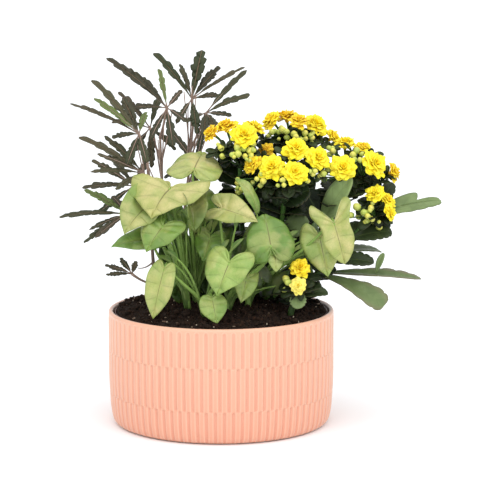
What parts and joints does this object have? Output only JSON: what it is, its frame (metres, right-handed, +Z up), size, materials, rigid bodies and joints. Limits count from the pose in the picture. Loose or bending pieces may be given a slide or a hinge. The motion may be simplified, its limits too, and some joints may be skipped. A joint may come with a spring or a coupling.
{
  "type": "tropical dish garden",
  "caption": "Low ribbed peach ceramic bowl planted with false aralia, arrowhead vine and double yellow kalanchoe.",
  "frame": {"origin": "centre of the pot's underside, on the surface that it stands on", "axes": "+Z up along the pot's axis; -Y towards the front of the planting, the side seen in the picture; +X to the viewer's right"},
  "size_m": [0.3461, 0.2159, 0.3302],
  "materials": {
    "pot_glaze": "satin peach glaze",
    "liner_plastic": "thin grow liner",
    "potting_soil": "dark crumbly potting soil",
    "aralia_leaf": "dark bronze-green leaf, half matt",
    "syngonium_leaf": "lime to cream leaf, half matt",
    "kalanchoe_leaf": "fleshy dark green leaf, waxy",
    "kalanchoe_petal": "lemon-yellow petal, matt"
  },
  "bodies": {
    "root": {"aralia_stem_1": "aralia_leaf", "aralia_stem_2": "aralia_leaf", "aralia_stem_3": "aralia_leaf", "kalanchoe_bloom_01": "kalanchoe_petal", "kalanchoe_bloom_02": "kalanchoe_petal", "kalanchoe_bloom_03": "kalanchoe_petal", "kalanchoe_bloom_04": "kalanchoe_petal", "kalanchoe_bloom_05": "kalanchoe_petal", "kalanchoe_bloom_06": "kalanchoe_petal", "kalanchoe_bloom_07": "kalanchoe_petal", "kalanchoe_bloom_08": "kalanchoe_petal", "kalanchoe_bloom_09": "kalanchoe_petal", "kalanchoe_bloom_10": "kalanchoe_petal", "kalanchoe_bloom_11": "kalanchoe_petal", "kalanchoe_bloom_12": "kalanchoe_petal", "kalanchoe_bloom_13": "kalanchoe_petal", "kalanchoe_bloom_14": "kalanchoe_petal", "kalanchoe_bloom_15": "kalanchoe_petal", "kalanchoe_bloom_16": "kalanchoe_petal", "kalanchoe_bloom_17": "kalanchoe_petal", "kalanchoe_bloom_18": "kalanchoe_petal", "kalanchoe_bloom_19": "kalanchoe_petal", "kalanchoe_bloom_20": "kalanchoe_petal", "kalanchoe_bloom_21": "kalanchoe_petal", "kalanchoe_bloom_22": "kalanchoe_petal", "kalanchoe_bloom_23": "kalanchoe_petal", "kalanchoe_bloom_24": "kalanchoe_petal", "kalanchoe_bloom_25": "kalanchoe_petal", "kalanchoe_stem_1": "kalanchoe_leaf", "kalanchoe_stem_2": "kalanchoe_leaf", "kalanchoe_stem_3": "kalanchoe_leaf", "kalanchoe_stem_4": "kalanchoe_leaf", "kalanchoe_stem_5": "kalanchoe_leaf", "kalanchoe_stem_6": "kalanchoe_leaf", "liner": "liner_plastic", "pot": "pot_glaze", "soil": "potting_soil", "syngonium_stem_1": "syngonium_leaf", "syngonium_stem_2": "syngonium_leaf", "syngonium_stem_3": "syngonium_leaf", "syngonium_stem_4": "syngonium_leaf", "syngonium_stem_5": "syngonium_leaf", "syngonium_stem_6": "syngonium_leaf"}
  },
  "joints": []
}
